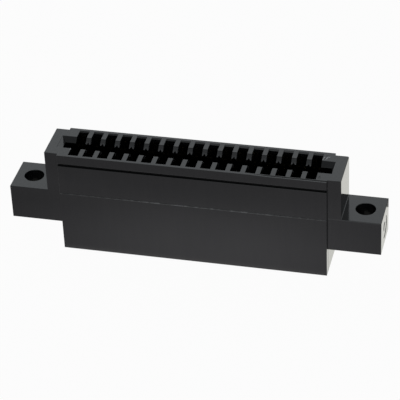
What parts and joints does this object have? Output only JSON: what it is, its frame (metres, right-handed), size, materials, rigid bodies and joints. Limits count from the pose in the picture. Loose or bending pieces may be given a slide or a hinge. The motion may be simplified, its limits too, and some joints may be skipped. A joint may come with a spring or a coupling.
{
  "type": "card edge connector",
  "caption": "Tall moulded connector housing with a card slot, a chamfered lead-in, a mounting ear at each end and snap-in crimp contacts inside.",
  "frame": {"origin": "centre of the housing's bottom face, where the wires leave", "axes": "+X along the card slot towards the ear with the gate mark, +Y across the slot towards the back row of contacts, +Z from the wire side to the card side"},
  "size_m": [0.0642, 0.0088, 0.0191],
  "materials": {
    "housing": "black thermoplastic moulding, low gloss with a fine mould texture",
    "contact": "plated copper alloy sheet, satin"
  },
  "bodies": {
    "root": {"housing": "housing", "contact_front_01": "contact", "contact_front_02": "contact", "contact_front_03": "contact", "contact_front_04": "contact", "contact_front_05": "contact", "contact_front_06": "contact", "contact_front_07": "contact", "contact_front_08": "contact", "contact_front_09": "contact", "contact_front_10": "contact", "contact_front_11": "contact", "contact_front_12": "contact", "contact_front_13": "contact", "contact_front_14": "contact", "contact_front_15": "contact", "contact_front_16": "contact", "contact_front_17": "contact", "contact_back_01": "contact", "contact_back_02": "contact", "contact_back_03": "contact", "contact_back_04": "contact", "contact_back_05": "contact", "contact_back_06": "contact", "contact_back_07": "contact", "contact_back_08": "contact", "contact_back_09": "contact", "contact_back_10": "contact", "contact_back_11": "contact", "contact_back_12": "contact", "contact_back_13": "contact", "contact_back_14": "contact", "contact_back_15": "contact", "contact_back_16": "contact", "contact_back_17": "contact"}
  },
  "joints": []
}
